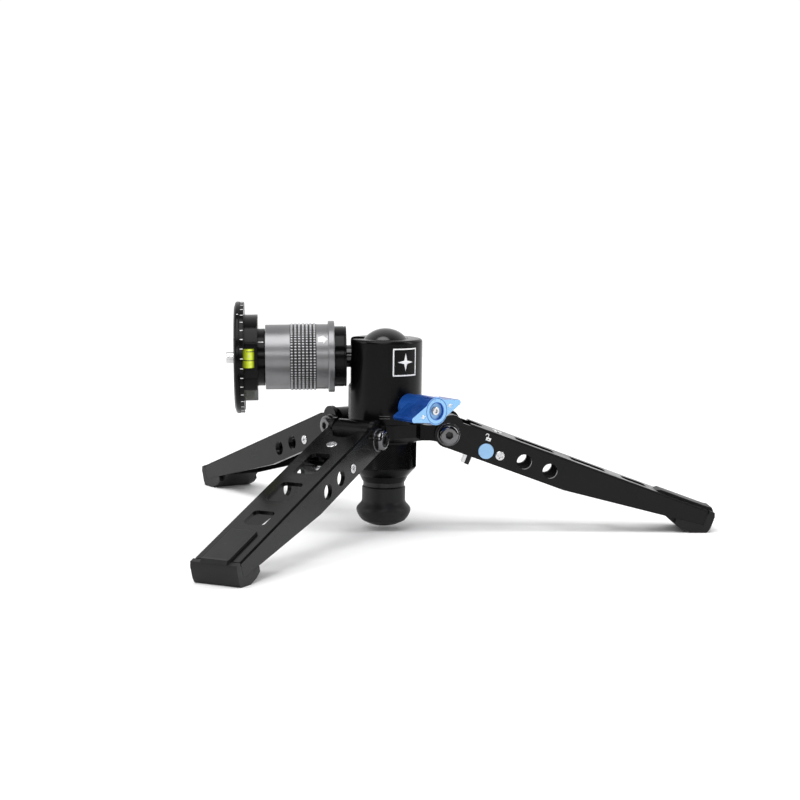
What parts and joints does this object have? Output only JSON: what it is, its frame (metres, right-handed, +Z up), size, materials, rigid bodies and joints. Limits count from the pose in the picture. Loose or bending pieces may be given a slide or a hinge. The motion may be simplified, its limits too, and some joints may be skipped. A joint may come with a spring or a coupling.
{
  "type": "tabletop tripod with ball head",
  "caption": "Low folding three-leg stand with a ball head lying in its side notch, a quick-release coupler and a levelled panning camera plate.",
  "frame": {"origin": "on the floor under the column's axis", "axes": "+Z up along the column; the head's axis points along -X, drooping by 1.2 degrees, and lies in the housing's side notch"},
  "size_m": [0.296, 0.337, 0.1275],
  "materials": {
    "black_anodised": "satin black anodised",
    "sleeve_grey": "satin grey anodised",
    "knob_blue": "satin blue anodised",
    "button_blue": "light blue moulded",
    "steel": "bright zinc plated",
    "black_chrome": "dark polished",
    "ball_black": "polished black anodised",
    "rubber": "moulded matt rubber",
    "acetal": "moulded",
    "black_plastic": "fine moulded texture",
    "clear_block": "clear moulded",
    "vial_liquid": "yellow-green filled"
  },
  "bodies": {
    "column": {"housing": "black_anodised", "base_plug": "black_anodised", "ball_seat": "acetal", "seat_plunger": "steel", "seat_spring": "steel", "leg_hub": "black_anodised"},
    "foot": {"foot_collar": "black_anodised", "foot_washer": "black_plastic", "foot_stud": "steel", "rubber_foot": "rubber"},
    "knob": {"wing_knob": "knob_blue", "knob_shaft": "steel", "knob_screw": "steel"},
    "ball": {"ball_stem": "ball_black", "coupler_socket": "black_anodised", "release_spring": "steel", "lock_balls": "steel", "stop_ring": "steel", "spigot": "black_anodised", "level_base": "black_anodised", "base_screws": "steel", "vial_block": "clear_block", "vial_side": "vial_liquid", "vial_lower": "vial_liquid"},
    "sleeve": {"release_sleeve": "sleeve_grey"},
    "pan_plate": {"pan_washer": "acetal", "pan_pivot": "steel", "pan_nut": "steel", "pan_disc": "black_anodised", "grip_pad": "rubber", "camera_stud": "steel"},
    "leg_1": {"leg_channel_1": "black_anodised", "foot_cap_1": "rubber", "pivot_axle_1": "steel", "pivot_bolts_1": "black_chrome", "lever_axle_1": "steel", "leg_screws_1": "steel", "button_spring_1": "steel"},
    "button_1": {"lock_button_1": "button_blue"},
    "lever_1": {"lock_lever_1": "steel"},
    "leg_2": {"leg_channel_2": "black_anodised", "foot_cap_2": "rubber", "pivot_axle_2": "steel", "pivot_bolts_2": "black_chrome", "lever_axle_2": "steel", "leg_screws_2": "steel", "button_spring_2": "steel"},
    "button_2": {"lock_button_2": "button_blue"},
    "lever_2": {"lock_lever_2": "steel"},
    "leg_3": {"leg_channel_3": "black_anodised", "foot_cap_3": "rubber", "pivot_axle_3": "steel", "pivot_bolts_3": "black_chrome", "lever_axle_3": "steel", "leg_screws_3": "steel", "button_spring_3": "steel"},
    "button_3": {"lock_button_3": "button_blue"},
    "lever_3": {"lock_lever_3": "steel"}
  },
  "joints": [
    {"name": "foot_collar_turn", "type": "hinge", "parent": "column", "child": "foot", "pos_m": [0, 0, 0.04], "axis": [0, 0, 1], "range_deg": [0, 180]},
    {"name": "knob_turn", "type": "hinge", "parent": "column", "child": "knob", "pos_m": [0, 0, 0.0716], "axis": [0.5821, -0.8131, 0], "range_deg": [0, 150]},
    {"name": "ball_tilt", "type": "hinge", "parent": "column", "child": "ball", "pos_m": [0, 0, 0.098], "axis": [0, -1, 0], "range_deg": [-115, 0]},
    {"name": "sleeve_release", "type": "slide", "parent": "ball", "child": "sleeve", "axis": [0.9998, 0, 0.0209], "range_m": [0, 0.0045], "stiffness_N_per_m": 600, "springref_m": -0.004, "deforming": ["release_spring"]},
    {"name": "pan_turn", "type": "hinge", "parent": "ball", "child": "pan_plate", "pos_m": [0, 0, 0.098], "axis": [-0.9998, 0, -0.0209], "continuous": true},
    {"name": "leg_fold_1", "type": "hinge", "parent": "column", "child": "leg_1", "pos_m": [0.03504, 0.00086, 0.0555], "axis": [0.0244, -0.9997, 0], "range_deg": [0, 97]},
    {"name": "button_press_1", "type": "slide", "parent": "leg_1", "child": "button_1", "axis": [-0.0244, 0.9997, 0], "range_m": [0, 0.0015], "stiffness_N_per_m": 800, "springref_m": -0.002, "deforming": ["button_spring_1"]},
    {"name": "lever_swing_1", "type": "hinge", "parent": "leg_1", "child": "lever_1", "pos_m": [0.06404, 0.00156, 0.04352], "axis": [0.0244, -0.9997, 0], "range_deg": [0, 5.1]},
    {"name": "leg_fold_2", "type": "hinge", "parent": "column", "child": "leg_2", "pos_m": [-0.01678, -0.03077, 0.0555], "axis": [-0.878, 0.4787, 0], "range_deg": [0, 97]},
    {"name": "button_press_2", "type": "slide", "parent": "leg_2", "child": "button_2", "axis": [0.878, -0.4787, 0], "range_m": [0, 0.0015], "stiffness_N_per_m": 800, "springref_m": -0.002, "deforming": ["button_spring_2"]},
    {"name": "lever_swing_2", "type": "hinge", "parent": "leg_2", "child": "lever_2", "pos_m": [-0.03067, -0.05624, 0.04352], "axis": [-0.878, 0.4787, 0], "range_deg": [0, 5.1]},
    {"name": "leg_fold_3", "type": "hinge", "parent": "column", "child": "leg_3", "pos_m": [-0.01826, 0.02992, 0.0555], "axis": [0.8536, 0.521, 0], "range_deg": [0, 97]},
    {"name": "button_press_3", "type": "slide", "parent": "leg_3", "child": "button_3", "axis": [-0.8536, -0.521, 0], "range_m": [0, 0.0015], "stiffness_N_per_m": 800, "springref_m": -0.002, "deforming": ["button_spring_3"]},
    {"name": "lever_swing_3", "type": "hinge", "parent": "leg_3", "child": "lever_3", "pos_m": [-0.03338, 0.05468, 0.04352], "axis": [0.8536, 0.521, 0], "range_deg": [0, 5.1]}
  ],
  "couplings": [
    {"joint": "lever_swing_1", "follows": "button_press_1", "rad_per_m": 58.18},
    {"joint": "lever_swing_2", "follows": "button_press_2", "rad_per_m": 58.18},
    {"joint": "lever_swing_3", "follows": "button_press_3", "rad_per_m": 58.18}
  ]
}
